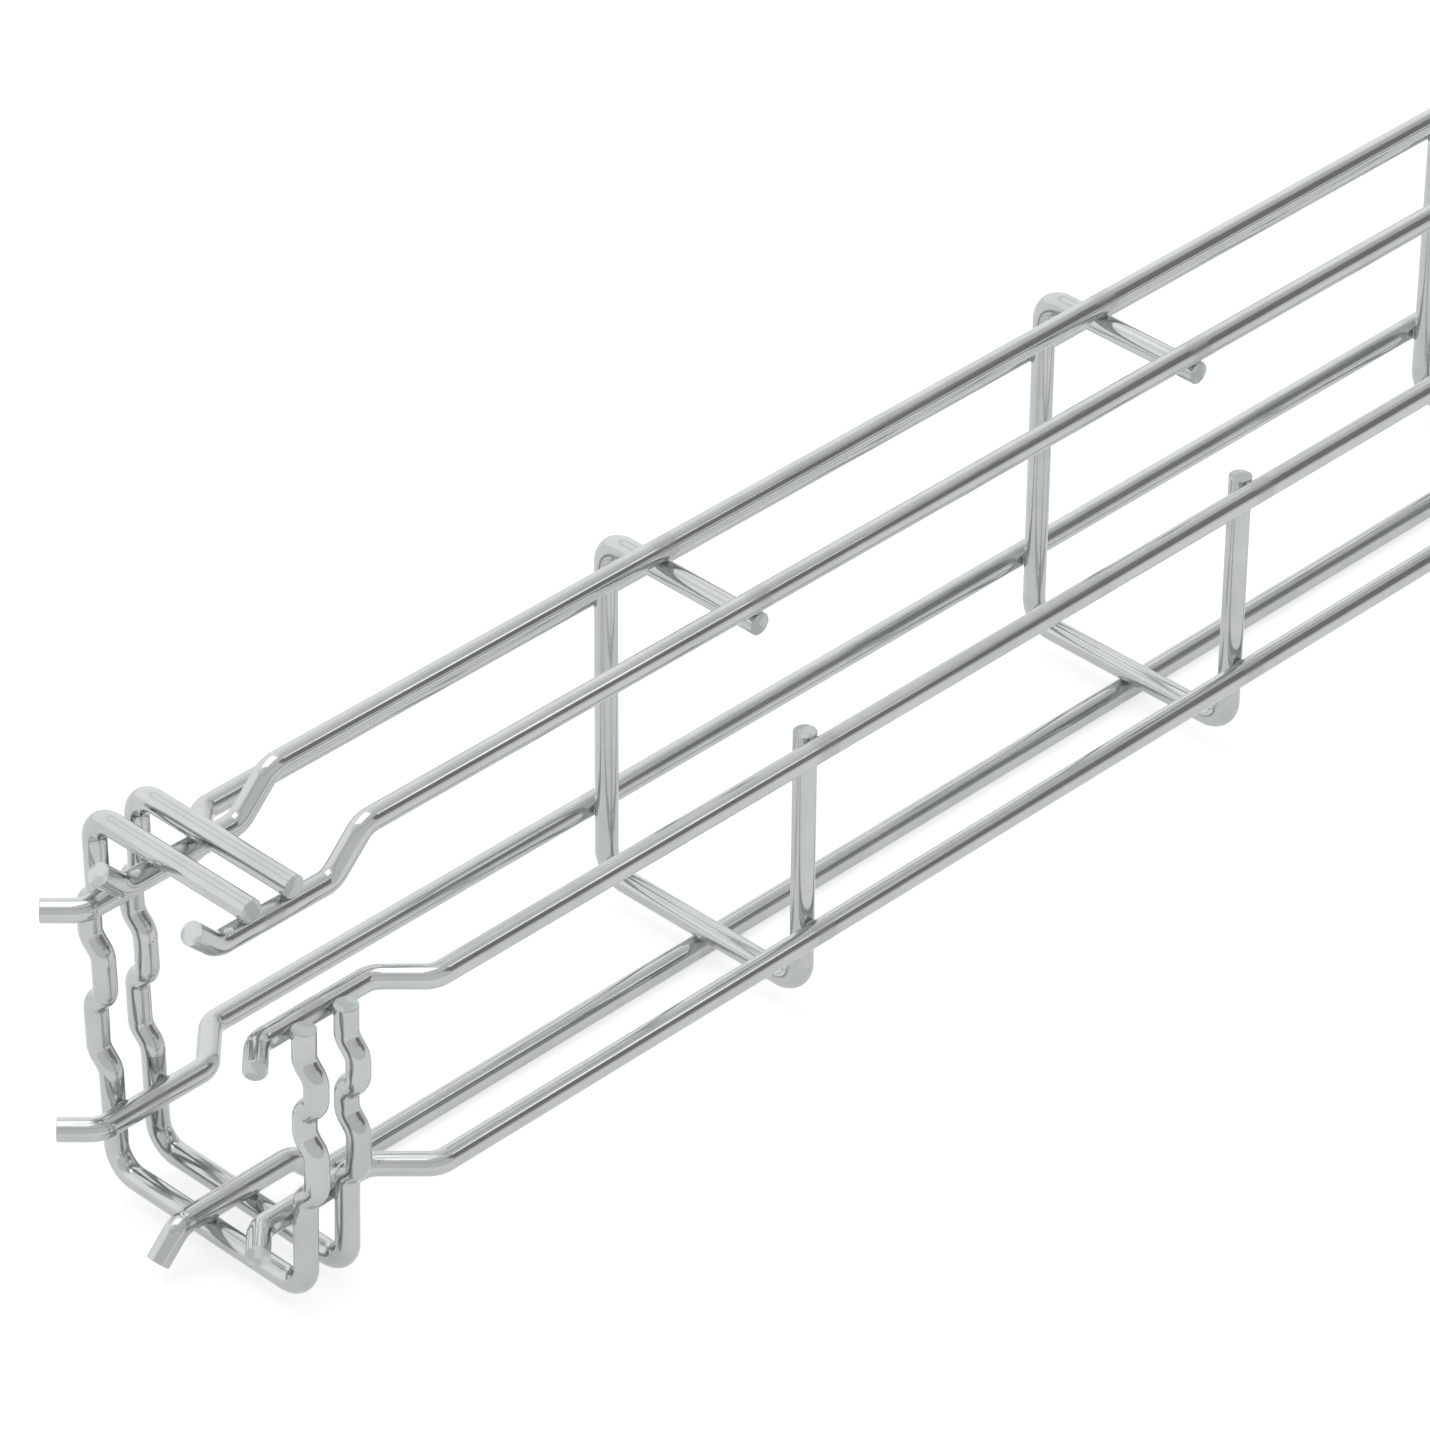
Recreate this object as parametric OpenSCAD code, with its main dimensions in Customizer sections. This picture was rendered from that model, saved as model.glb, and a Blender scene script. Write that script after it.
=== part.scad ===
// Welded wire mesh cable tray, G section, with a self-coupling end.
//
// Seven line wires run the length of the tray. Cross wires, each one bent to a G, are
// welded inside them at every pitch. At the coupling end two cross wires stand close
// together, and the line wires step through the walls to run inside that pair, so that
// the last cross wire of the next tray snaps between the two.
//
// X runs along the tray from the coupling end to the plain end, +Y is the back wall,
// -Y is the front with its slot, and +Z is up. The origin is on the floor, under the
// middle of the length and of the width.

/* [Tray] */
// Useful length, from the middle of the coupling pair to the last cross wire
useful_l = 3000; // [600:100:3000]
// Spacing of the cross wires
pitch = 100; // [50:10:150]
// Clear width between the two side walls
clear_w = 39; // [34:0.5:80]
// Clear height between the base and the roof
clear_h = 59.4; // [56:0.2:80]

/* [Wire] */
// Diameter of every wire
wire_d = 3.8; // [3.4:0.1:4.2]
// Depth that two wires sink into each other at a weld
weld_sink = 0.2; // [0.1:0.05:0.4]
// Inside radius of the cross wires' corner bends
corner_in_r = 2.5; // [2:0.5:6]

/* [Cross wires] */
// Length of the roof run, from the back wall's centre line to the free end
roof_l = 33; // [26:0.5:36]
// Height of the front wall's free end above the base's centre line
front_h = 48.2; // [46:0.2:50]

/* [Line wires] */
// Height of the upper back wire above the base's centre line
back_upper_z = 51.2; // [48:0.2:53]
// Height of the lower back wire above the base's centre line
back_lower_z = 11.2; // [9:0.2:13]
// Distance of the rear roof wire from the back wall's centre line
roof_rear_y = 11.9; // [10:0.1:14]
// Distance of the front roof wire back from the cross wires' free ends
roof_front_setback = 1.2; // [0.8:0.1:3]
// Distance of the base wire from the back wall's centre line
base_y = 21; // [14:0.5:26]
// Distance of the upper front wire below the cross wires' free ends
front_upper_setback = 1.3; // [0.8:0.1:2]
// Height of the lower front wire above the base's centre line
front_lower_z = 12.3; // [10:0.1:13]
// Overhang of the line wires past the last cross wire
tail_l = 10; // [4:1:30]

/* [Coupling end] */
// Spacing of the two cross wires of the coupling pair, centre to centre
pair_spacing = 8.3; // [7.9:0.1:9.5]
// Outward lean of the pair's side walls, in degrees
pair_splay = 1.5; // [0:0.1:2]
// Height at which the leaning walls cross the plain ones' centre lines
splay_pivot_z = 23.5; // [15:0.5:30]
// How much lower the pair's base lies than the plain cross wires'
pair_drop = 0.8; // [0:0.1:1.5]
// How much higher the pair's roof lies than the plain cross wires'
pair_rise = 0.6; // [0:0.1:1.5]
// Distance from the pair's middle to where the line wires start their step inwards
step_start = 19; // [18:0.5:26]
// Angle of the line wires' step and of their flared tips, in degrees
step_angle = 45; // [40:1:50]
// Distance from the pair's middle to the bend of the flared tips
tip_bend_x = 10; // [9:0.5:14]
// How far the tips turn back outwards
tip_rise = 4.5; // [3:0.1:5]
// Inside radius of the bends of the line wires
step_in_r = 2; // [1.5:0.5:3]

/* [Snap waves of the coupling pair] */
// Outward depth of each wave
wave_depth = 2.5; // [1.5:0.1:2.5]
// Inside radius of the bends in the waves
wave_in_r = 0.9; // [0.6:0.1:1.2]
// Middle height and length of the back wall's upper wave
back_upper_wave = [43.9, 8.6]; // [8:0.1:45]
// Middle height and length of the back wall's lower wave
back_lower_wave = [24.3, 11]; // [8:0.1:45]
// Middle height and length of the front wall's upper wave
front_upper_wave = [37.8, 7]; // [7:0.1:45]
// Middle height and length of the front wall's lower wave
front_lower_wave = [22.8, 9.4]; // [7:0.1:45]

/* [Hidden] */
$fn = 48;
// How much a bend is thicker than the wire, and how far the straights reach into it
bend_swell = 0.02;
bend_lap = 0.15;
wire_r = wire_d / 2;
corner_r = corner_in_r + wire_r;
step_r = step_in_r + wire_r;
wave_r = wave_in_r + wire_r;
// Centre-line size of a cross wire, and the offset of a line wire from it at a weld
frame_w = clear_w + wire_d;
frame_h = clear_h + wire_d;
weld_offset = wire_d - weld_sink;

// Places along the tray
cross_count = floor(useful_l / pitch);
tail_end = cross_count * pitch + tail_l;
tip_end = -(tip_bend_x + tip_rise / tan(step_angle));
origin_x = (tail_end + tip_end - wire_r * sin(step_angle)) / 2;
origin_y = -frame_w / 2;
origin_z = -weld_offset - wire_r;

function cross_name(i) = str("cross_wire_", i < 10 ? "0" : "", i);
LINE_NAMES = ["back_upper_wire", "back_lower_wire", "roof_rear_wire", "roof_front_wire",
              "base_wire", "front_upper_wire", "front_lower_wire"];
PAIR_NAMES = ["coupling_wire_outer", "coupling_wire_inner"];

// Bent wire: a path in a plane, as corners [x, y, bend radius at the centre line]
function xy(p) = [p[0], p[1]];
function heading(a, b) = atan2(b[1] - a[1], b[0] - a[0]);
function wrapped(angle) = angle - 360 * round(angle / 360);
function turn(path, i) =
    i == 0 || i == len(path) - 1 ? 0
    : wrapped(heading(path[i], path[i + 1]) - heading(path[i - 1], path[i]));
function trim(path, i) =
    i == 0 || i == len(path) - 1 ? 0 : path[i][2] * tan(abs(turn(path, i)) / 2);
function along(a, b, distance) = xy(a) + distance * (xy(b) - xy(a)) / norm(xy(b) - xy(a));

// A straight runs on into the bends at its ends, which are a hair thicker than it
module straight(path, i) {
    from = along(path[i], path[i + 1], i == 0 ? 0 : trim(path, i) - bend_lap);
    to = along(path[i + 1], path[i], i == len(path) - 2 ? 0 : trim(path, i + 1) - bend_lap);
    translate([from[0], from[1], 0])
        rotate([0, 90, heading(from, to)])
            cylinder(h = norm(to - from), d = wire_d);
}

module bend(path, i) {
    angle = turn(path, i);
    side = sign(angle);
    start = along(path[i], path[i - 1], trim(path, i));
    facing = heading(path[i - 1], path[i]);
    centre = start + side * path[i][2] * [-sin(facing), cos(facing)];
    first = side > 0 ? facing - 90 : facing + angle + 90;
    translate([centre[0], centre[1], 0])
        rotate([0, 0, first])
            rotate_extrude(angle = abs(angle))
                translate([path[i][2], 0])
                    circle(d = wire_d + bend_swell);
}

module bent_wire(path) {
    for (i = [0 : len(path) - 2])
        straight(path, i);
    for (i = [1 : len(path) - 2])
        bend(path, i);
}

// Cross wires, drawn in the plane [y, z] with the base's back corner at [0, 0]
function lean(z) = (z - splay_pivot_z) * tan(pair_splay);
function back_y(z, splayed) = splayed ? lean(z) : 0;
function front_y(z, splayed) = -frame_w - (splayed ? lean(z) : 0);
function base_z(splayed) = splayed ? -pair_drop : 0;
function roof_z(splayed) = frame_h + (splayed ? pair_rise : 0);

function cross_path() = [
    [-frame_w, front_h, 0],
    [-frame_w, 0, corner_r],
    [0, 0, corner_r],
    [0, frame_h, corner_r],
    [-roof_l, frame_h, 0],
];

// One wave as four corners, from low to high, bulging to the side given
function wave_corners(wave, wall, side) =
    let (ramp = wave_depth / 2, half = wave[1] / 2)
    [for (step = [[-half - ramp, 0], [-half + ramp, 1], [half - ramp, 1], [half + ramp, 0]])
        let (z = wave[0] + step[0], base = wall == "back" ? back_y(z, true) : front_y(z, true))
        [base + side * wave_depth * step[1], z, wave_r]];

function reversed(list) = [for (i = [len(list) - 1 : -1 : 0]) list[i]];

function coupling_path() = concat(
    [[front_y(front_h, true), front_h, 0]],
    reversed(wave_corners(front_upper_wave, "front", -1)),
    reversed(wave_corners(front_lower_wave, "front", -1)),
    [[front_y(base_z(true), true), base_z(true), corner_r]],
    [[back_y(base_z(true), true), base_z(true), corner_r]],
    wave_corners(back_lower_wave, "back", 1),
    wave_corners(back_upper_wave, "back", 1),
    [[back_y(roof_z(true), true), roof_z(true), corner_r], [-roof_l, roof_z(true), 0]]);

// Line wires: where each crosses the section, and the unit vector out of its wall
function line_place(name, splayed) =
    name == "back_upper_wire" ? [back_y(back_upper_z, splayed), back_upper_z]
    : name == "back_lower_wire" ? [back_y(back_lower_z, splayed), back_lower_z]
    : name == "roof_rear_wire" ? [-roof_rear_y, roof_z(splayed)]
    : name == "roof_front_wire" ? [roof_front_setback - roof_l, roof_z(splayed)]
    : name == "base_wire" ? [-base_y, base_z(splayed)]
    : name == "front_upper_wire" ? [front_y(front_upper_z(), splayed), front_upper_z()]
    : [front_y(front_lower_z, splayed), front_lower_z];
function front_upper_z() = front_h - front_upper_setback;
function outward(name) =
    name == "back_upper_wire" || name == "back_lower_wire" ? [1, 0]
    : name == "roof_rear_wire" || name == "roof_front_wire" ? [0, 1]
    : name == "base_wire" ? [0, -1]
    : [-1, 0];

// Moves what is drawn from the section's own corner to the tray's origin
module to_origin() {
    translate([-origin_x, -origin_y, -origin_z]) children();
}

// The hollows that the line wires press into a cross wire at its welds
module weld_seats(side, splayed) {
    for (name = LINE_NAMES) {
        seat = line_place(name, splayed) + side * weld_offset * outward(name);
        translate([0, seat[0], seat[1]])
            rotate([0, 90, 0])
                cylinder(h = 2 * wire_d, d = wire_d, center = true);
    }
}

module cross_wire(x, path, side, splayed) {
    color("silver")
        to_origin()
            translate([x, 0, 0])
                difference() {
                    rotate([90, 0, 90]) bent_wire(path);
                    weld_seats(side, splayed);
                }
}

// A line wire: outside the plain cross wires, stepped inside the pair, tip flared out
module line_wire(name) {
    outer = line_place(name, false) + weld_offset * outward(name);
    inner = line_place(name, true) - weld_offset * outward(name);
    out_by = (outer - inner) * outward(name);
    step_end = step_start - out_by / tan(step_angle);
    path = [
        [tip_end, tip_rise, 0],
        [-tip_bend_x, 0, step_r],
        [step_end, 0, step_r],
        [step_start, out_by, step_r],
        [tail_end, out_by, 0],
    ];
    color("silver")
        to_origin()
            translate([0, inner[0], inner[1]])
                rotate([atan2(outward(name)[1], outward(name)[0]), 0, 0])
                    bent_wire(path);
}

for (name = LINE_NAMES)
    line_wire(name);
cross_wire(-pair_spacing / 2, coupling_path(), -1, true);
cross_wire(pair_spacing / 2, coupling_path(), -1, true);
for (i = [1 : cross_count])
    cross_wire(i * pitch, cross_path(), 1, false);
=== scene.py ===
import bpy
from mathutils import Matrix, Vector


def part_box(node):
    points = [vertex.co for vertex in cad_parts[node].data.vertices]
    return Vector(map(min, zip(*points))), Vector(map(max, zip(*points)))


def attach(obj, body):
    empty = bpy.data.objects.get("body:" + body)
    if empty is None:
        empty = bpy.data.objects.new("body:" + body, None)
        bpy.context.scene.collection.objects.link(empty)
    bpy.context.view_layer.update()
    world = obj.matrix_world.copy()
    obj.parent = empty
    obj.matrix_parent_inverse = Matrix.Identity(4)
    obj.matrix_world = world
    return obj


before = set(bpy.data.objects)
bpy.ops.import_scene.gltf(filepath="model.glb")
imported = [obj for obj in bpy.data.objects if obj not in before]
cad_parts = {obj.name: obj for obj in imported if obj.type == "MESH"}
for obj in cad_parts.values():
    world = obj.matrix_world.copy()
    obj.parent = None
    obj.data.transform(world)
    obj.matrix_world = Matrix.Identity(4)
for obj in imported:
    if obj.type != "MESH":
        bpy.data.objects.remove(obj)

"""Looks of a welded wire mesh cable tray: bright zinc-plated wire, its welds and its sheared ends.

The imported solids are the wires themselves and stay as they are. This script plates them, adds the
weld flash at every crossing and the sheared faces at every wire end, and sets up the studio.
Lengths are in metres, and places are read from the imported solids.
"""

import logging
import math
from collections.abc import Callable, Sequence
from dataclasses import dataclass, field
from enum import Enum

import bpy
from mathutils import Matrix, Vector

LOG = logging.getLogger("wire_tray")
MM = 0.001
BODY = "root"
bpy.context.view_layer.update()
ALONG = Vector((1, 0, 0))
FRONTWARD = Vector((0, -1, 0))
UPWARD = Vector((0, 0, 1))
# A noise's colour swings about this value
NOISE_MIDDLE = (0.5, 0.5, 0.5)


class LineWire(Enum):
    """A wire that runs the length of the tray, with the direction out of the wall it lies on."""

    BACK_UPPER = ("back_upper_wire", (0.0, 1.0, 0.0))
    BACK_LOWER = ("back_lower_wire", (0.0, 1.0, 0.0))
    ROOF_REAR = ("roof_rear_wire", (0.0, 0.0, 1.0))
    ROOF_FRONT = ("roof_front_wire", (0.0, 0.0, 1.0))
    BASE = ("base_wire", (0.0, 0.0, -1.0))
    FRONT_UPPER = ("front_upper_wire", (0.0, -1.0, 0.0))
    FRONT_LOWER = ("front_lower_wire", (0.0, -1.0, 0.0))

    @property
    def node(self) -> str:
        """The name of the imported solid."""
        return self.value[0]

    @property
    def outward(self) -> Vector:
        """The unit vector out of the tray, through this wire."""
        return Vector(self.value[1])


class Grain(Enum):
    """Which way the drawing lines of a wire run, as the axes that cross them."""

    ALONG_TRAY = (0.0, 1.0, 1.0)
    ROUND_SECTION = (1.0, 0.0, 0.0)


def linear(hex_colour: str) -> tuple[float, float, float, float]:
    """Turns an sRGB hex colour into Blender's linear one.

    Args:
        hex_colour: six hex digits, such as "BFC5C3".

    Returns:
        Linear red, green and blue, and an alpha of 1.
    """
    shares = [int(hex_colour[i : i + 2], 16) / 255 for i in (0, 2, 4)]
    # The sRGB standard's curve, with its straight stretch near black
    lit = [c / 12.92 if c <= 0.04045 else ((c + 0.055) / 1.055) ** 2.4 for c in shares]
    return (lit[0], lit[1], lit[2], 1.0)


def add(tree: bpy.types.NodeTree, kind: str, settings: dict | None = None,
        **links: object) -> bpy.types.Node:
    """Adds a node, with its settings and what goes into its sockets.

    Args:
        tree: the node tree.
        kind: the node's type.
        settings: attributes of the node itself, such as its operation.
        **links: a socket's name in lower case with underscores, or i0, i1 for its place, and the
            output socket or the plain value that goes into it.

    Returns:
        The new node.
    """
    node = tree.nodes.new(kind)
    for name, value in (settings or {}).items():
        setattr(node, name, value)
    by_name: dict[str, bpy.types.NodeSocket] = {}
    for socket in node.inputs:
        if socket.enabled:
            by_name.setdefault(socket.name.lower().replace(" ", "_"), socket)
    for name, value in links.items():
        numbered = name[0] == "i" and name[1:].isdigit()
        socket = node.inputs[int(name[1:])] if numbered else by_name[name]
        if isinstance(value, bpy.types.NodeSocket):
            tree.links.new(value, socket)
        else:
            socket.default_value = value
    return node


def new_material(name: str) -> bpy.types.Material:
    """Makes an empty node material.

    Args:
        name: the material's name.

    Returns:
        The material, with no nodes.
    """
    material = bpy.data.materials.new(name)
    material.use_nodes = True
    material.node_tree.nodes.clear()
    return material


def seen_directly(tree: bpy.types.NodeTree, path: bpy.types.Node) -> bpy.types.NodeSocket:
    """Adds a node that gives 1 where the picture looks straight at something, and 0 elsewhere.

    Args:
        tree: the node tree.
        path: its Light Path node.

    Returns:
        The output socket.
    """
    seen = add(tree, "ShaderNodeMath", {"operation": "MAXIMUM"}, i0=path.outputs["Is Camera Ray"],
               i1=path.outputs["Is Transmission Ray"])
    return seen.outputs[0]


def rectangle(width: float, height: float) -> list[Vector]:
    """Gives the four corners of a rectangle about the origin, in the XY plane.

    Args:
        width: its size along X.
        height: its size along Y.

    Returns:
        The corners, in order round it.
    """
    x, y = width / 2, height / 2
    return [Vector((-x, -y, 0)), Vector((x, -y, 0)), Vector((x, y, 0)), Vector((-x, y, 0))]


@dataclass(frozen=True)
class BrightZincPlate:
    """Drawn mild-steel wire with bright electroplated zinc and a clear blue-green passivation.

    Plating leaves the drawing lines of the wire just visible, so the shine is soft and streaked
    along the wire. The tint is a hair greener than bare steel, and the film clouds a little over
    a centimetre or so. On a line wire, the film is duller next to each weld, and its colour there
    is darker and warmer: partly a weld tint and partly painted shade of the crossing.
    """

    name: str
    grain: Grain
    # Whether the colour goes darker and warmer next to the welds: weld tint and painted shade
    tinted_and_shaded_at_welds: bool = True
    plate: str = "C3C7C6"
    cloudy: str = "BABFBD"
    # Colour next to each crossing: partly weld tint, partly painted shade of the crossing
    warm_tint_and_shade: str = "B2B4AF"
    roughness: float = 0.09
    roughness_spread: float = 0.08
    cloud_size: float = 11 * MM
    # The noise values between which the film goes from clear to cloudy
    cloud_range: tuple[float, float] = (0.4, 0.68)
    # Drawing lines are hundredths of a millimetre apart, drawn here at a third of a millimetre to show
    line_spacing: float = 0.33 * MM
    line_length: float = 60 * MM
    line_depth: float = 0.007 * MM
    # The noise values between which a line goes from shiny to dull
    line_range: tuple[float, float] = (0.3, 0.75)
    # How far the weld tint and painted shade reach from a cross wire's middle
    tint_and_shade_reach: float = 2.8 * MM
    tint_roughness: float = 0.25

    def material(self, stations: "Stations") -> bpy.types.Material:
        """Builds the finish.

        Args:
            stations: where the cross wires stand, for the dull film and painted shade at welds.

        Returns:
            The material.
        """
        made = new_material(self.name)
        tree = made.node_tree
        place = add(tree, "ShaderNodeTexCoord").outputs["Object"]
        clouds = add(tree, "ShaderNodeTexNoise", vector=place, scale=1 / self.cloud_size, detail=4.0,
                     roughness=0.6)
        across = Vector(self.grain.value) / self.line_spacing
        along = (Vector((1, 1, 1)) - Vector(self.grain.value)) / self.line_length
        stretched = add(tree, "ShaderNodeMapping", vector=place, scale=across + along)
        lines = add(tree, "ShaderNodeTexNoise", vector=stretched.outputs[0], scale=1.0, detail=3.0,
                    roughness=0.55)
        film = add(tree, "ShaderNodeMapRange", value=clouds.outputs[0], from_min=self.cloud_range[0],
                   from_max=self.cloud_range[1])
        colour = add(tree, "ShaderNodeMix", {"data_type": "RGBA"}, i0=film.outputs[0],
                     i6=linear(self.plate), i7=linear(self.cloudy)).outputs[2]
        roughness = add(tree, "ShaderNodeMapRange", value=lines.outputs[0],
                        from_min=self.line_range[0], from_max=self.line_range[1],
                        to_min=self.roughness,
                        to_max=self.roughness + self.roughness_spread).outputs[0]
        if self.tinted_and_shaded_at_welds:
            near = self.near_weld(tree, place, stations)
            tint_and_shade_share = add(tree, "ShaderNodeMath", {"operation": "MULTIPLY"}, i0=near,
                         i1=clouds.outputs[0])
            # Painted shade: the colour goes darker and warmer next to each cross wire, partly weld tint
            colour = add(tree, "ShaderNodeMix", {"data_type": "RGBA"}, i0=tint_and_shade_share.outputs[0],
                         i6=colour, i7=linear(self.warm_tint_and_shade)).outputs[2]
            roughness = add(tree, "ShaderNodeMath", {"operation": "MULTIPLY_ADD"},
                            i0=tint_and_shade_share.outputs[0], i1=self.tint_roughness, i2=roughness).outputs[0]
        relief = add(tree, "ShaderNodeBump", height=lines.outputs[0], strength=0.5,
                     distance=self.line_depth)
        shader = add(tree, "ShaderNodeBsdfPrincipled", base_color=colour, metallic=1.0,
                     roughness=roughness, normal=relief.outputs[0])
        add(tree, "ShaderNodeOutputMaterial", surface=shader.outputs[0])
        return made

    def near_weld(self, tree: bpy.types.NodeTree, place: bpy.types.NodeSocket,
                  stations: "Stations") -> bpy.types.NodeSocket:
        """Adds nodes that give 1 at a cross wire's middle and 0 past its tint and painted shade.

        The stations repeat at the plain wires' pitch, so at the coupling pair the tint and painted
        shade lie between its two wires.

        Args:
            tree: the material's node tree.
            place: the point on the surface.
            stations: where the cross wires stand.

        Returns:
            The output socket with the share.
        """
        axes = add(tree, "ShaderNodeSeparateXYZ", vector=place)
        from_first = add(tree, "ShaderNodeMath", {"operation": "SUBTRACT"}, i0=axes.outputs[0],
                         i1=stations.plain[0] - stations.pitch / 2)
        cell = add(tree, "ShaderNodeMath", {"operation": "FLOORED_MODULO"}, i0=from_first.outputs[0],
                   i1=stations.pitch)
        offset = add(tree, "ShaderNodeMath", {"operation": "SUBTRACT"}, i0=cell.outputs[0],
                     i1=stations.pitch / 2)
        gap = add(tree, "ShaderNodeMath", {"operation": "ABSOLUTE"}, i0=offset.outputs[0])
        share = add(tree, "ShaderNodeMapRange", {"interpolation_type": "SMOOTHSTEP"},
                    value=gap.outputs[0], from_min=self.tint_and_shade_reach / 2, from_max=self.tint_and_shade_reach,
                    to_min=1.0, to_max=0.0)
        return share.outputs[0]


@dataclass(frozen=True)
class WeldFlash:
    """Zinc-plated resistance-weld flash: metal squeezed out and plated over.

    It is lumpy and half matte, with a warm grey stain on its lumps.
    """

    name: str = "plated_weld_flash"
    plate: str = "B4BAB8"
    stain: str = "8B8B84"
    roughness: float = 0.34
    lump_size: float = 1.1 * MM
    lump_depth: float = 0.12 * MM
    # The noise values between which the flash goes from clean to stained
    stain_range: tuple[float, float] = (0.42, 0.66)

    def material(self) -> bpy.types.Material:
        """Builds the finish.

        Returns:
            The material.
        """
        made = new_material(self.name)
        tree = made.node_tree
        place = add(tree, "ShaderNodeTexCoord").outputs["Object"]
        lumps = add(tree, "ShaderNodeTexNoise", vector=place, scale=1 / self.lump_size, detail=5.0)
        stained = add(tree, "ShaderNodeMapRange", value=lumps.outputs[0],
                      from_min=self.stain_range[0], from_max=self.stain_range[1])
        colour = add(tree, "ShaderNodeMix", {"data_type": "RGBA"}, i0=stained.outputs[0],
                     i6=linear(self.plate), i7=linear(self.stain))
        relief = add(tree, "ShaderNodeBump", height=lumps.outputs[0], strength=0.8,
                     distance=self.lump_depth)
        shader = add(tree, "ShaderNodeBsdfPrincipled", base_color=colour.outputs[2], metallic=1.0,
                     roughness=self.roughness, normal=relief.outputs[0])
        add(tree, "ShaderNodeOutputMaterial", surface=shader.outputs[0])
        return made


@dataclass(frozen=True)
class ShearedFace:
    """A plated shear cut: a burnished part where the blade went in and a matte torn part past it."""

    name: str = "plated_sheared_face"
    burnished: str = "C6CCCA"
    torn: str = "B9BFBD"
    # The torn grain is a few hundredths of a millimetre, drawn at a quarter of a millimetre to show
    grain_size: float = 0.25 * MM
    patch_size: float = 2.4 * MM
    grain_depth: float = 0.015 * MM
    # The noise values between which the face goes from burnished to torn
    torn_range: tuple[float, float] = (0.44, 0.54)
    burnished_roughness: float = 0.42
    torn_roughness: float = 0.58

    def material(self) -> bpy.types.Material:
        """Builds the finish.

        Returns:
            The material.
        """
        made = new_material(self.name)
        tree = made.node_tree
        place = add(tree, "ShaderNodeTexCoord").outputs["Object"]
        patches = add(tree, "ShaderNodeTexNoise", vector=place, scale=1 / self.patch_size, detail=1.0)
        grain = add(tree, "ShaderNodeTexNoise", vector=place, scale=1 / self.grain_size, detail=3.0)
        torn = add(tree, "ShaderNodeMapRange", value=patches.outputs[0], from_min=self.torn_range[0],
                   from_max=self.torn_range[1])
        colour = add(tree, "ShaderNodeMix", {"data_type": "RGBA"}, i0=torn.outputs[0],
                     i6=linear(self.burnished), i7=linear(self.torn))
        roughness = add(tree, "ShaderNodeMapRange", value=torn.outputs[0],
                        to_min=self.burnished_roughness, to_max=self.torn_roughness)
        relief = add(tree, "ShaderNodeBump", height=grain.outputs[0], strength=torn.outputs[0],
                     distance=self.grain_depth)
        shader = add(tree, "ShaderNodeBsdfPrincipled", base_color=colour.outputs[2], metallic=1.0,
                     roughness=roughness.outputs[0], normal=relief.outputs[0])
        add(tree, "ShaderNodeOutputMaterial", surface=shader.outputs[0])
        return made


@dataclass(frozen=True)
class PaperSweep:
    """Matte white studio paper: white to the camera, pale in gloss, and it keeps soft shadows."""

    name: str = "white_paper_sweep"
    paper: str = "CFCFCF"
    fill: float = 0.6
    fill_in_gloss: float = 0.44

    def material(self) -> bpy.types.Material:
        """Builds the finish.

        Returns:
            The material.
        """
        made = new_material(self.name)
        tree = made.node_tree
        path = add(tree, "ShaderNodeLightPath")
        direct = add(tree, "ShaderNodeMath", {"operation": "MULTIPLY"}, i0=seen_directly(tree, path),
                     i1=self.fill)
        strength = add(tree, "ShaderNodeMath", {"operation": "MULTIPLY_ADD"},
                       i0=path.outputs["Is Glossy Ray"], i1=self.fill_in_gloss, i2=direct.outputs[0])
        matte = add(tree, "ShaderNodeBsdfDiffuse", color=linear(self.paper))
        glow = add(tree, "ShaderNodeEmission", strength=strength.outputs[0])
        both = add(tree, "ShaderNodeAddShader", i0=matte.outputs[0], i1=glow.outputs[0])
        add(tree, "ShaderNodeOutputMaterial", surface=both.outputs[0])
        return made


@dataclass(frozen=True)
class GreyFlag:
    """Dull grey cloth on a frame, which draws the dark line along round bright wire."""

    name: str = "grey_flag_cloth"
    cloth: str = "8C8C8C"

    def material(self) -> bpy.types.Material:
        """Builds the finish.

        Returns:
            The material.
        """
        made = new_material(self.name)
        tree = made.node_tree
        shader = add(tree, "ShaderNodeEmission", color=linear(self.cloth), strength=1.0)
        add(tree, "ShaderNodeOutputMaterial", surface=shader.outputs[0])
        return made


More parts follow.
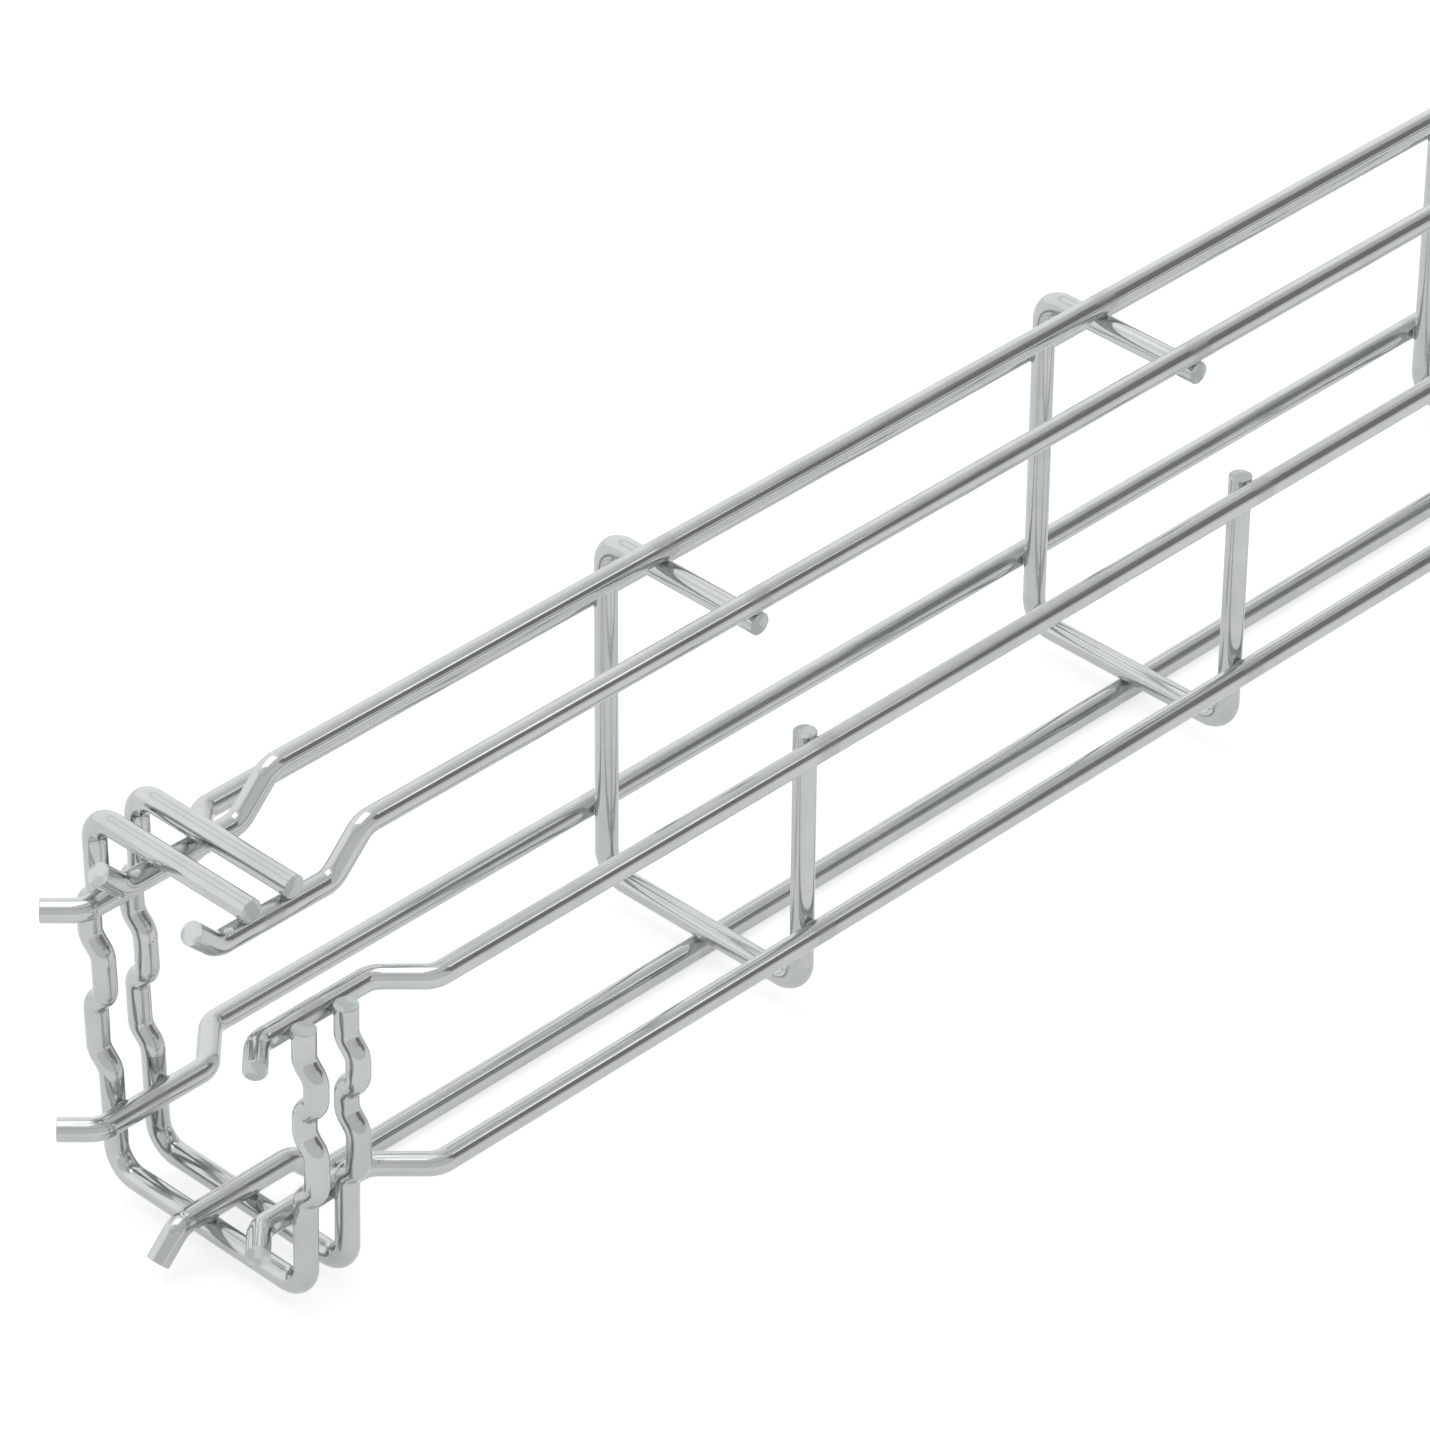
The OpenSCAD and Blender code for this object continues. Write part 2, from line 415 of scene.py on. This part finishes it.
@dataclass(frozen=True)
class PaleSurround:
    """A pale surround of soft panels, brighter behind the tray, and white to the camera.

    The panels meet in a slightly dimmer seam all round, which shows as a faint line in the wire.
    The brightnesses are those that bright wire mirrors, apart from all_round, which lights the rest.
    Heights and turns are coordinates on the unit sphere of directions.
    """

    name: str = "pale_surround"
    behind: float = 1.22
    before: float = 0.79
    behind_turn: float = 0.45
    all_round: float = 0.75
    seam_height: float = 0.715
    seam_half: float = 0.02
    seam_edge: float = 0.07
    seam_share: float = 0.8

    def world(self) -> bpy.types.World:
        """Builds the surround.

        Returns:
            The world.
        """
        world = bpy.data.worlds.new(self.name)
        world.use_nodes = True
        tree = world.node_tree
        tree.nodes.clear()
        path = add(tree, "ShaderNodeLightPath")
        way = add(tree, "ShaderNodeTexCoord").outputs["Generated"]
        axes = add(tree, "ShaderNodeSeparateXYZ", vector=way)
        soft = add(tree, "ShaderNodeMapRange", value=axes.outputs[1], from_min=0.0,
                   from_max=self.behind_turn, to_min=self.before, to_max=self.behind)
        off_seam = add(tree, "ShaderNodeMath", {"operation": "SUBTRACT"}, i0=axes.outputs[2],
                       i1=self.seam_height)
        gap = add(tree, "ShaderNodeMath", {"operation": "ABSOLUTE"}, i0=off_seam.outputs[0])
        seam = add(tree, "ShaderNodeMapRange", value=gap.outputs[0], from_min=self.seam_half,
                   from_max=self.seam_edge, to_min=self.seam_share, to_max=1.0)
        panels = add(tree, "ShaderNodeMath", {"operation": "MULTIPLY"}, i0=soft.outputs[0],
                     i1=seam.outputs[0])
        lit = add(tree, "ShaderNodeMix", {"data_type": "FLOAT"}, i0=path.outputs["Is Glossy Ray"],
                  i2=self.all_round, i3=panels.outputs[0])
        strength = add(tree, "ShaderNodeMix", {"data_type": "FLOAT"}, i0=seen_directly(tree, path),
                       i2=lit.outputs[0], i3=1.0)
        glow = add(tree, "ShaderNodeBackground", color=(1, 1, 1, 1), strength=strength.outputs[0])
        add(tree, "ShaderNodeOutputWorld", surface=glow.outputs[0])
        return world


@dataclass(frozen=True)
class FlatStand:
    """Something flat on a stand that faces the tray's near end: a flag or a soft box.

    The azimuth is in degrees from +X towards +Y, the elevation in degrees above the floor, and the
    power in watts.
    """

    name: str
    azimuth: float
    elevation: float
    distance: float
    width: float
    height: float
    power: float = 0.0

    def place(self, focus: Vector) -> Matrix:
        """Finds where it stands and how it is turned.

        Args:
            focus: the point that it faces.

        Returns:
            The matrix that takes something in the XY plane there.
        """
        a, e = math.radians(self.azimuth), math.radians(self.elevation)
        way = Vector((math.cos(a) * math.cos(e), math.sin(a) * math.cos(e), math.sin(e)))
        turn = way.to_track_quat("Z", "Y").to_matrix().to_4x4()
        return Matrix.Translation(focus + way * self.distance) @ turn


FLAG = FlatStand("grey_flag", azimuth=-43, elevation=29.5, distance=3.0, width=2.0, height=1.85)
STREAK_BOX = FlatStand("streak_soft_box", azimuth=-36, elevation=43, distance=1.2, width=0.2,
                       height=0.17, power=0.16)
OVERHEAD_BOX = FlatStand("overhead_soft_box", azimuth=100, elevation=80, distance=4.0, width=3.0,
                         height=3.0, power=30.0)


@dataclass(frozen=True)
class WireEnd:
    """The flat face at a wire's end: its middle and the direction it looks."""

    middle: Vector
    facing: Vector


@dataclass
class Stations:
    """Where the cross wires stand along the tray."""

    pair: list[float] = field(default_factory=list)
    plain: list[float] = field(default_factory=list)

    @classmethod
    def from_frame(cls) -> "Stations":
        """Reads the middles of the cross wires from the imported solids.

        Returns:
            The stations.
        """
        names = sorted(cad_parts)
        return cls(pair=[middle_x(name) for name in names if name.startswith("coupling_wire")],
                   plain=[middle_x(name) for name in names if name.startswith("cross_wire")])

    @property
    def pitch(self) -> float:
        """The spacing of the plain cross wires."""
        return (self.plain[-1] - self.plain[0]) / (len(self.plain) - 1)


def middle_x(node: str) -> float:
    """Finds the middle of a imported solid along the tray.

    Args:
        node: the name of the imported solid.

    Returns:
        The place along X.
    """
    low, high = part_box(node)
    return (low[0] + high[0]) / 2


def anywhere(point: Vector) -> bool:
    """Accepts every point.

    Args:
        point: the point.

    Returns:
        True.
    """
    return True


def end_face(node: str, facing: Vector, inside: Callable[[Vector], bool] = anywhere) -> WireEnd:
    """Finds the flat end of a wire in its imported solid.

    Args:
        node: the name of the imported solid.
        facing: about the direction that the end looks.
        inside: whether a point lies in the region that holds the end.

    Returns:
        The end's middle and its true direction.
    """
    close_turn = 0.998
    face_depth = 0.3 * MM
    faces = [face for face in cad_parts[node].data.polygons
             if face.normal.dot(facing) > close_turn and inside(face.center)]
    furthest = max(face.center.dot(facing) for face in faces)
    kept = [face for face in faces if furthest - face.center.dot(facing) < face_depth]
    area = sum(face.area for face in kept)
    middle = sum((face.center * face.area for face in kept), Vector()) / area
    normal = sum((face.normal * face.area for face in kept), Vector()) / area
    return WireEnd(middle, normal.normalized())


@dataclass
class ScatteredParts:
    """Small like parts on chosen points, each turned to its own direction, as one plain mesh.

    The parts are instanced by Geometry Nodes on a cloud of points that carries the directions.
    """

    name: str
    points: list[Vector]
    facings: list[Vector]
    material: bpy.types.Material
    seed: int

    def build(self, tree: bpy.types.NodeTree, sizes: dict[str, float]) -> bpy.types.Object:
        """Runs the tree on the points and keeps its result.

        Args:
            tree: the Geometry Nodes tree, with inputs named Material and Seed.
            sizes: the values of the tree's other inputs, by name.

        Returns:
            The finished piece, which rides on the tray.
        """
        mesh = bpy.data.meshes.new(self.name + "_points")
        mesh.from_pydata([tuple(point) for point in self.points], [], [])
        facing = mesh.attributes.new("facing", "FLOAT_VECTOR", "POINT")
        facing.data.foreach_set("vector", [value for way in self.facings for value in way])
        carrier = bpy.data.objects.new(self.name + "_carrier", mesh)
        bpy.context.scene.collection.objects.link(carrier)
        modifier = carrier.modifiers.new("scatter", "NODES")
        modifier.node_group = tree
        values = {**sizes, "Material": self.material, "Seed": self.seed}
        for item in tree.interface.items_tree:
            if item.in_out == "INPUT" and item.name in values:
                modifier[item.identifier] = values[item.name]
        graph = bpy.context.evaluated_depsgraph_get()
        result = bpy.data.meshes.new_from_object(carrier.evaluated_get(graph))
        result.name = self.name
        carrier.modifiers.remove(modifier)
        bpy.data.objects.remove(carrier)
        piece = bpy.data.objects.new(self.name, result)
        bpy.context.scene.collection.objects.link(piece)
        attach(piece, BODY)
        LOG.info("%s: %d parts, %d faces", self.name, len(self.points), len(result.polygons))
        return piece


def scatter_tree(name: str, sizes: Sequence[str]) -> tuple[bpy.types.NodeTree, bpy.types.Node]:
    """Starts a Geometry Nodes tree that turns points into parts.

    Args:
        name: the tree's name.
        sizes: the names of its size inputs.

    Returns:
        The tree, and its input node.
    """
    tree = bpy.data.node_groups.new(name, "GeometryNodeTree")
    tree.interface.new_socket("Geometry", in_out="INPUT", socket_type="NodeSocketGeometry")
    for size in sizes:
        tree.interface.new_socket(size, in_out="INPUT", socket_type="NodeSocketFloat")
    tree.interface.new_socket("Seed", in_out="INPUT", socket_type="NodeSocketInt")
    tree.interface.new_socket("Material", in_out="INPUT", socket_type="NodeSocketMaterial")
    tree.interface.new_socket("Geometry", in_out="OUTPUT", socket_type="NodeSocketGeometry")
    return tree, add(tree, "NodeGroupInput")


def place_parts(tree: bpy.types.NodeTree, given: bpy.types.Node, part: bpy.types.NodeSocket,
                scale: bpy.types.NodeSocket) -> bpy.types.Node:
    """Adds the nodes that set a part on each point, facing its direction, with a random spin.

    Args:
        tree: the tree.
        given: its input node.
        part: the part's mesh, with its own axis along Z.
        scale: the size of each part.

    Returns:
        The node that gives the parts as real meshes.
    """
    facing = add(tree, "GeometryNodeInputNamedAttribute", {"data_type": "FLOAT_VECTOR"}, name="facing")
    turned = add(tree, "FunctionNodeAlignRotationToVector", {"axis": "Z"}, vector=facing.outputs[0])
    spin = add(tree, "FunctionNodeRandomValue", {"data_type": "FLOAT"}, i2=0.0, i3=math.tau,
               seed=given.outputs["Seed"])
    about_axis = add(tree, "FunctionNodeAxisAngleToRotation", axis=(0, 0, 1), angle=spin.outputs[1])
    rotation = add(tree, "FunctionNodeRotateRotation", {"rotation_space": "LOCAL"},
                   rotation=turned.outputs[0], rotate_by=about_axis.outputs[0])
    placed = add(tree, "GeometryNodeInstanceOnPoints", points=given.outputs["Geometry"], instance=part,
                 rotation=rotation.outputs[0], scale=scale)
    return add(tree, "GeometryNodeRealizeInstances", geometry=placed.outputs[0])


def roughen(tree: bpy.types.NodeTree, mesh: bpy.types.NodeSocket, lump_size: float, detail: float,
            depth: bpy.types.NodeSocket) -> bpy.types.Node:
    """Adds the nodes that push a mesh's points about by a smooth noise.

    Args:
        tree: the tree.
        mesh: the mesh.
        lump_size: about how far apart the lumps are.
        detail: the noise's finer levels.
        depth: how far a full swing of the noise moves a point.

    Returns:
        The node that gives the uneven mesh.
    """
    noise = add(tree, "ShaderNodeTexNoise", scale=1 / lump_size, detail=detail)
    centred = add(tree, "ShaderNodeVectorMath", {"operation": "SUBTRACT"}, i0=noise.outputs["Color"],
                  i1=NOISE_MIDDLE)
    push = add(tree, "ShaderNodeVectorMath", {"operation": "SCALE"}, vector=centred.outputs[0],
               scale=depth)
    return add(tree, "GeometryNodeSetPosition", geometry=mesh, offset=push.outputs[0])


@dataclass
class Welds:
    """The flash squeezed out where each line wire is welded to each cross wire."""

    stations: Stations
    wire_d: float
    sink: float = 0.2 * MM
    radius: float = 1.3 * MM
    height: float = 0.5 * MM
    lumps: float = 0.16 * MM
    lump_size: float = 1.4 * MM
    # The beads' width varies between these shares of the radius
    width_range: tuple[float, float] = (0.8, 1.12)
    seed: int = 11

    def centre(self, wire: LineWire, in_pair: bool) -> Vector:
        """Finds a line wire's centre line where it crosses a cross wire.

        Args:
            wire: the line wire.
            in_pair: whether the cross wire is one of the coupling pair.

        Returns:
            The point, with no place along the tray.
        """
        out = wire.outward
        low, high = (Vector(corner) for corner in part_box(wire.node))
        span = (high - low) / 2
        level = (high + low) / 2
        level.x = 0.0
        reach = abs(span.dot(out)) - self.wire_d / 2
        return level + out * (-reach if in_pair else reach)

    def spots(self) -> tuple[list[Vector], list[Vector]]:
        """Finds where the welds are.

        Returns:
            The middle of every weld, and the way from the cross wire to the line wire.
        """
        points, facings = [], []
        for wire in LineWire:
            for in_pair, places in ((True, self.stations.pair), (False, self.stations.plain)):
                side = -1 if in_pair else 1
                to_contact = -side * (self.wire_d - self.sink) / 2 * wire.outward
                spot = self.centre(wire, in_pair) + to_contact
                points += [spot + Vector((place, 0, 0)) for place in places]
                facings += [side * wire.outward] * len(places)
        return points, facings

    def tree(self) -> bpy.types.NodeTree:
        """Builds the tree: a flattened, lumpy bead on each spot.

        Returns:
            The Geometry Nodes tree.
        """
        tree, given = scatter_tree("weld_flash_beads", ("Radius", "Height", "Lumps"))
        bead = add(tree, "GeometryNodeMeshIcoSphere", radius=1.0, subdivisions=2)
        wide = add(tree, "FunctionNodeRandomValue", {"data_type": "FLOAT"}, i2=self.width_range[0],
                   i3=self.width_range[1], seed=given.outputs["Seed"])
        radius = add(tree, "ShaderNodeMath", {"operation": "MULTIPLY"}, i0=wide.outputs[1],
                     i1=given.outputs["Radius"])
        size = add(tree, "ShaderNodeCombineXYZ", x=radius.outputs[0], y=given.outputs["Radius"],
                   z=given.outputs["Height"])
        beads = place_parts(tree, given, bead.outputs["Mesh"], size.outputs[0])
        lumpy = roughen(tree, beads.outputs[0], self.lump_size, 2.0, given.outputs["Lumps"])
        smooth = add(tree, "GeometryNodeSetShadeSmooth", geometry=lumpy.outputs[0])
        coated = add(tree, "GeometryNodeSetMaterial", geometry=smooth.outputs[0],
                     material=given.outputs["Material"])
        add(tree, "NodeGroupOutput", geometry=coated.outputs[0])
        return tree

    def build(self, material: bpy.types.Material) -> bpy.types.Object:
        """Makes the welds.

        Args:
            material: their finish.

        Returns:
            The piece.
        """
        points, facings = self.spots()
        parts = ScatteredParts("weld_flash", points, facings, material, self.seed)
        return parts.build(self.tree(), {"Radius": self.radius, "Height": self.height,
                                         "Lumps": self.lumps})


@dataclass
class ShearedEnds:
    """The cut faces of the wires: both ends of each line wire and of each cross wire."""

    wire_d: float
    rim: float = 0.09 * MM
    face_share: float = 0.97
    rim_sides: int = 16
    burr: float = 0.02 * MM
    burr_size: float = 1.2 * MM
    seed: int = 5

    def ends(self) -> list[WireEnd]:
        """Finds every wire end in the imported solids.

        Returns:
            The ends.
        """
        reach = 2 * self.wire_d
        found = []
        for wire in LineWire:
            tip = (wire.outward - ALONG).normalized()
            found.append(end_face(wire.node, tip))
            found.append(end_face(wire.node, ALONG))
        for name in sorted(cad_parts):
            if not name.startswith(("cross_wire", "coupling_wire")):
                continue
            low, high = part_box(name)
            front, roof = low[1] + reach, high[2] - reach
            found.append(end_face(name, UPWARD, lambda point, y=front: point.y < y))
            found.append(end_face(name, FRONTWARD, lambda point, z=roof: point.z > z))
        return found

    def tree(self) -> bpy.types.NodeTree:
        """Builds the tree: a shallow rimmed disc on each end, with an uneven burr.

        Returns:
            The Geometry Nodes tree.
        """
        tree, given = scatter_tree("sheared_wire_ends", ("Radius", "Rim", "Burr"))
        disc = add(tree, "GeometryNodeMeshCone", vertices=self.rim_sides, radius_top=self.face_share,
                   radius_bottom=1.0, depth=1.0)
        size = add(tree, "ShaderNodeCombineXYZ", x=given.outputs["Radius"], y=given.outputs["Radius"],
                   z=given.outputs["Rim"])
        discs = place_parts(tree, given, disc.outputs["Mesh"], size.outputs[0])
        uneven = roughen(tree, discs.outputs[0], self.burr_size, 1.0, given.outputs["Burr"])
        coated = add(tree, "GeometryNodeSetMaterial", geometry=uneven.outputs[0],
                     material=given.outputs["Material"])
        add(tree, "NodeGroupOutput", geometry=coated.outputs[0])
        return tree

    def build(self, material: bpy.types.Material) -> bpy.types.Object:
        """Makes the end faces.

        Args:
            material: their finish.

        Returns:
            The piece.
        """
        ends = self.ends()
        parts = ScatteredParts("sheared_ends", [end.middle for end in ends],
                               [end.facing for end in ends], material, self.seed)
        return parts.build(self.tree(), {"Radius": self.wire_d / 2, "Rim": self.rim, "Burr": self.burr})


@dataclass
class Plating:
    """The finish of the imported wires."""

    stations: Stations

    def dress(self) -> None:
        """Gives every packed wire its plated finish."""
        drawn = BrightZincPlate("zinc_plated_line_wire", Grain.ALONG_TRAY).material(self.stations)
        bent = BrightZincPlate("zinc_plated_cross_wire", Grain.ROUND_SECTION,
                               tinted_and_shaded_at_welds=False).material(self.stations)
        straight = {wire.node for wire in LineWire}
        for name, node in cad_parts.items():
            node.data.materials.clear()
            node.data.materials.append(drawn if name in straight else bent)
        LOG.info("plated %d wires", len(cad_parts))


@dataclass
class Studio:
    """White paper, a pale surround, two soft boxes, a grey flag and the camera.

    The camera's azimuth is in degrees from the front, -Y, towards +X, its elevation in degrees
    above the floor, and its roll in degrees about its own axis.
    """

    focus: Vector
    floor_size: float = 120.0
    lens: float = 187.24
    sensor: float = 36.0
    clip_near: float = 0.05
    clip_far: float = 500.0
    azimuth: float = -45.72
    elevation: float = 35.03
    roll: float = 0.41
    camera_at: Vector = field(default_factory=lambda: Vector((-2.06635, -0.65495, 0.70258)))

    def build(self) -> None:
        """Makes the whole studio."""
        self.lay_paper()
        bpy.context.scene.world = PaleSurround().world()
        self.hang_flag(FLAG)
        for box in (STREAK_BOX, OVERHEAD_BOX):
            self.set_soft_box(box)
        self.aim_camera()
        bpy.context.scene.view_settings.view_transform = "Standard"

    def stage_sheet(self, name: str, corners: Sequence[Vector],
                    material: bpy.types.Material) -> bpy.types.Object:
        """Makes one flat sheet that belongs to the studio.

        Args:
            name: the sheet's name.
            corners: its four corners.
            material: its finish.

        Returns:
            The sheet.
        """
        mesh = bpy.data.meshes.new(name)
        mesh.from_pydata([tuple(corner) for corner in corners], [], [(0, 1, 2, 3)])
        mesh.materials.append(material)
        sheet = bpy.data.objects.new(name, mesh)
        bpy.context.scene.collection.objects.link(sheet)
        return sheet

    def lay_paper(self) -> None:
        """Lays the floor that the tray stands on."""
        corners = rectangle(self.floor_size, self.floor_size)
        self.stage_sheet("paper_floor", corners, PaperSweep().material())

    def hang_flag(self, stand: FlatStand) -> None:
        """Hangs the grey flag, which only shows as the dark line in the wires.

        Args:
            stand: the flag's size and place.
        """
        place = stand.place(self.focus)
        corners = [place @ corner for corner in rectangle(stand.width, stand.height)]
        flag = self.stage_sheet(stand.name, corners, GreyFlag().material())
        flag.visible_camera = False
        flag.visible_diffuse = False
        flag.visible_shadow = False

    def set_soft_box(self, stand: FlatStand) -> None:
        """Sets up one soft box: a small one draws the bright streak, the large one lights the floor.

        Args:
            stand: the box's size, place and power.
        """
        lamp = bpy.data.lights.new(stand.name, "AREA")
        lamp.shape = "RECTANGLE"
        lamp.size = stand.width
        lamp.size_y = stand.height
        lamp.energy = stand.power
        box = bpy.data.objects.new(stand.name, lamp)
        box.matrix_world = stand.place(self.focus)
        box.visible_camera = False
        bpy.context.scene.collection.objects.link(box)

    def aim_camera(self) -> None:
        """Sets the camera at the near, coupling end, looking down along the tray."""
        data = bpy.data.cameras.new("camera")
        data.lens = self.lens
        data.sensor_width = self.sensor
        data.clip_start = self.clip_near
        data.clip_end = self.clip_far
        camera = bpy.data.objects.new("camera", data)
        a, e = math.radians(self.azimuth), math.radians(self.elevation)
        back = Vector((math.sin(a) * math.cos(e), -math.cos(a) * math.cos(e), math.sin(e)))
        turn = (-back).to_track_quat("-Z", "Y").to_matrix().to_4x4()
        level = Matrix.Rotation(math.radians(self.roll), 4, "Z")
        camera.matrix_world = Matrix.Translation(self.camera_at) @ turn @ level
        bpy.context.scene.collection.objects.link(camera)
        bpy.context.scene.camera = camera


def wire_diameter() -> float:
    """Reads the wire's diameter from the thickness of a plain cross wire.

    Returns:
        The diameter.
    """
    low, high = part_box("cross_wire_01")
    return high[0] - low[0]


def main() -> None:
    """Plates the wires, adds welds and cut ends, and sets up the studio."""
    logging.basicConfig(level=logging.INFO, format="%(message)s")
    stations = Stations.from_frame()
    wire_d = wire_diameter()
    Plating(stations).dress()
    Welds(stations, wire_d).build(WeldFlash().material())
    ShearedEnds(wire_d).build(ShearedFace().material())
    near_end = Vector((stations.pair[0], 0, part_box("cross_wire_01")[1][2] / 2))
    Studio(focus=near_end).build()


if __name__ == "__main__":
    main()
